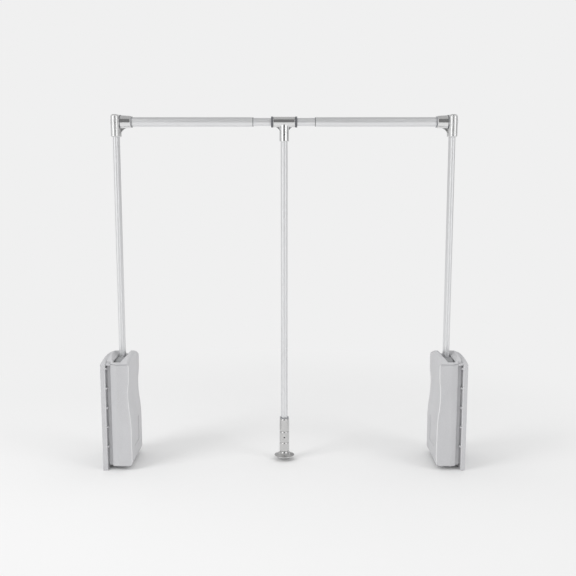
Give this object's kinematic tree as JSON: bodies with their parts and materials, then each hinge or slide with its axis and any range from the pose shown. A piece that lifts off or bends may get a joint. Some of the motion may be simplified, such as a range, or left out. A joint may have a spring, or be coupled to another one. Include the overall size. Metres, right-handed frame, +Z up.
{
  "type": "pull down closet rod",
  "caption": "Wardrobe lift: two wall housings carry folding arms and a telescopic hanging rail that a pull rod with a handle brings down to reach.",
  "frame": {"origin": "midway between the two housings, at the level of the lower edges of their plates, centred front to back", "axes": "+Z up along the raised arms, +X along the rail to the right, -Y to the front where the arms fold"},
  "size_m": [0.862, 0.14, 0.837],
  "materials": {
    "housing_abs": "fine-textured silver-grey ABS",
    "satin_aluminium": "satin anodised",
    "satin_nickel": "satin nickel plated casting",
    "cast_grey": "grey powder-coated casting",
    "zinc_steel": "zinc plated",
    "bright_steel": "ground and hard chromed",
    "black_steel": "black coated",
    "dark_plastic": "dark grey acetal",
    "rubber": "moulded rubber"
  },
  "bodies": {
    "left_unit": {"left_mounting_plate": "housing_abs", "left_housing_cover": "housing_abs", "left_cover_screws": "zinc_steel", "left_pivot_shaft": "bright_steel", "left_gas_spring_cylinder": "black_steel", "left_cylinder_clamps": "zinc_steel", "left_clamp_screws": "zinc_steel", "left_up_stop_buffer": "rubber"},
    "left_arm": {"left_pivot_bushes": "dark_plastic", "left_arm_bracket": "cast_grey", "left_crank_pin": "bright_steel", "left_crank_roller": "dark_plastic", "left_arm_tube": "satin_aluminium", "left_arm_rivets": "zinc_steel", "left_corner_connector": "satin_nickel", "left_rail_bolt": "satin_nickel", "left_rail_plug": "dark_plastic", "left_outer_tube": "satin_aluminium", "left_socket_ring": "dark_plastic", "left_tube_bush": "dark_plastic"},
    "left_plunger": {"left_push_fork": "zinc_steel", "left_gas_spring_rod": "bright_steel"},
    "right_unit": {"right_mounting_plate": "housing_abs", "right_housing_cover": "housing_abs", "right_cover_screws": "zinc_steel", "right_pivot_shaft": "bright_steel", "right_gas_spring_cylinder": "black_steel", "right_cylinder_clamps": "zinc_steel", "right_clamp_screws": "zinc_steel", "right_up_stop_buffer": "rubber"},
    "right_arm": {"right_pivot_bushes": "dark_plastic", "right_arm_bracket": "cast_grey", "right_crank_pin": "bright_steel", "right_crank_roller": "dark_plastic", "right_arm_tube": "satin_aluminium", "right_arm_rivets": "zinc_steel", "right_corner_connector": "satin_nickel", "right_rail_bolt": "satin_nickel", "right_rail_plug": "dark_plastic", "right_outer_tube": "satin_aluminium", "right_socket_ring": "dark_plastic", "right_tube_bush": "dark_plastic"},
    "right_plunger": {"right_push_fork": "zinc_steel", "right_gas_spring_rod": "bright_steel"},
    "centre_rail": {"inner_tube": "satin_aluminium", "tee_collars": "dark_plastic"},
    "pull_handle": {"tee_bushes": "dark_plastic", "tee_casting": "satin_nickel", "tee_screw": "black_steel", "pull_rod": "satin_aluminium", "handle_ring": "dark_plastic", "handle_grip": "satin_nickel", "handle_screw": "black_steel", "handle_foot": "satin_nickel"}
  },
  "joints": [
    {"name": "arm_fold", "type": "hinge", "parent": "left_unit", "child": "left_arm", "pos_m": [-0.3935, -0.024, 0.238], "axis": [1, 0, 0], "range_deg": [0, 85], "stiffness_Nm_per_rad": 20, "springref_deg": -28.65},
    {"name": "left_telescope", "type": "slide", "parent": "left_arm", "child": "centre_rail", "axis": [1, 0, 0], "range_m": [-0.03, 0.15]},
    {"name": "right_telescope", "type": "slide", "parent": "centre_rail", "child": "right_arm", "axis": [1, 0, 0], "range_m": [-0.03, 0.15]},
    {"name": "right_arm_fold", "type": "hinge", "parent": "right_arm", "child": "right_unit", "pos_m": [0.3935, -0.024, 0.238], "axis": [1, 0, 0], "range_deg": [-85, 0]},
    {"name": "left_plunger_travel", "type": "slide", "parent": "left_unit", "child": "left_plunger", "axis": [0, 0, 1], "range_m": [-0.02452, 0]},
    {"name": "right_plunger_travel", "type": "slide", "parent": "right_unit", "child": "right_plunger", "axis": [0, 0, 1], "range_m": [-0.02452, 0]},
    {"name": "handle_swing", "type": "hinge", "parent": "centre_rail", "child": "pull_handle", "pos_m": [0, 0.01, 0.82], "axis": [1, 0, 0], "continuous": true}
  ],
  "couplings": [
    {"joint": "right_arm_fold", "follows": "arm_fold", "ratio": -1},
    {"joint": "left_plunger_travel", "follows": "arm_fold", "m_per_rad": -0.016394},
    {"joint": "right_plunger_travel", "follows": "arm_fold", "m_per_rad": -0.016394}
  ]
}
